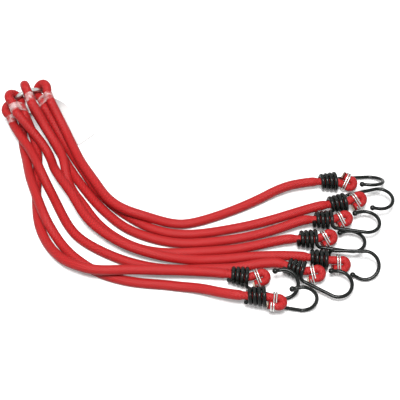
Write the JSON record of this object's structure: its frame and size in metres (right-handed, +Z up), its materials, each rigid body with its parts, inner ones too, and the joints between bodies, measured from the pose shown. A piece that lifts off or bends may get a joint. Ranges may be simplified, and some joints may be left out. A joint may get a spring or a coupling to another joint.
{
  "type": "multi-arm bungee strap",
  "caption": "Elastic tie-down strap: red braided cords folded over one steel ring, with a black one-wire coil hook at the end of every arm, laid out in a fan.",
  "frame": {"origin": "middle of the footprint on the surface the strap lies on", "axes": "+X from the ring side to the hook ends, +Z up, +Y towards the ring"},
  "size_m": [0.3426, 0.227, 0.0456],
  "materials": {
    "braid": "red braided textile cover",
    "hook_coating": "black, soft gloss",
    "ring_steel": "bright plated steel wire",
    "clip_steel": "bright steel wire",
    "film": "whitish translucent film",
    "core_rubber": "bundled latex strands",
    "tag_sheet": "plain white card"
  },
  "bodies": {
    "cords": {"cord_1": "braid", "cord_2": "braid", "cord_3": "braid", "cord_4": "braid", "sleeve_1": "film", "sleeve_2": "film", "sleeve_3": "film", "sleeve_4": "film", "end_clip_1": "clip_steel", "end_clip_2": "clip_steel", "end_clip_3": "clip_steel", "end_clip_4": "clip_steel", "end_clip_5": "clip_steel", "end_clip_6": "clip_steel", "end_clip_7": "clip_steel", "end_clip_8": "clip_steel", "core_end_1": "core_rubber", "core_end_2": "core_rubber", "core_end_3": "core_rubber", "core_end_4": "core_rubber", "core_end_5": "core_rubber", "core_end_6": "core_rubber", "core_end_7": "core_rubber", "core_end_8": "core_rubber"},
    "hook_1": {"hook_1": "hook_coating"},
    "hook_2": {"hook_2": "hook_coating"},
    "hook_3": {"hook_3": "hook_coating"},
    "hook_4": {"hook_4": "hook_coating"},
    "hook_5": {"hook_5": "hook_coating"},
    "hook_6": {"hook_6": "hook_coating"},
    "hook_7": {"hook_7": "hook_coating"},
    "hook_8": {"hook_8": "hook_coating"},
    "ring": {"ring": "ring_steel"},
    "tag": {"tag": "tag_sheet"}
  },
  "joints": [
    {"name": "hook_swivel_1", "type": "hinge", "parent": "cords", "child": "hook_1", "pos_m": [0.10932, 0.01602, 0.0089], "axis": [0.9998, 0.0175, 0], "range_deg": [-6, 0]},
    {"name": "hook_swivel_2", "type": "hinge", "parent": "cords", "child": "hook_2", "pos_m": [0.11432, -0.01198, 0.0129], "axis": [0.9903, 0.1392, 0], "range_deg": [-58, 4]},
    {"name": "hook_swivel_3", "type": "hinge", "parent": "cords", "child": "hook_3", "pos_m": [0.10032, -0.02598, 0.0109], "axis": [0.9986, -0.0523, 0], "range_deg": [-52, 0]},
    {"name": "hook_swivel_4", "type": "hinge", "parent": "cords", "child": "hook_4", "pos_m": [0.08632, -0.04398, 0.0089], "axis": [0.9986, -0.0523, 0], "range_deg": [-33, 1]},
    {"name": "hook_swivel_5", "type": "hinge", "parent": "cords", "child": "hook_5", "pos_m": [0.09532, -0.06198, 0.0089], "axis": [0.9848, -0.1736, 0], "range_deg": [0, 6]},
    {"name": "hook_swivel_6", "type": "hinge", "parent": "cords", "child": "hook_6", "pos_m": [0.07532, -0.06898, 0.0089], "axis": [0.9135, -0.4067, 0], "range_deg": [-10, 32]},
    {"name": "hook_swivel_7", "type": "hinge", "parent": "cords", "child": "hook_7", "pos_m": [0.03032, -0.07798, 0.0089], "axis": [0.9781, -0.2079, 0], "range_deg": [-1, 4]},
    {"name": "hook_swivel_8", "type": "hinge", "parent": "cords", "child": "hook_8", "pos_m": [0.04232, -0.09998, 0.0129], "axis": [0.9976, -0.0698, 0], "range_deg": [-9, 33]},
    {"name": "ring_spin", "type": "hinge", "parent": "cords", "child": "ring", "pos_m": [-0.14568, 0.10102, 0.01874], "axis": [0.4006, -0.8997, -0.1736], "continuous": true},
    {"name": "tag_swing", "type": "hinge", "parent": "cords", "child": "tag", "pos_m": [-0.12618, 0.09598, 0.0248], "axis": [-0.5942, -0.8043, 0], "range_deg": [0, 25]}
  ]
}
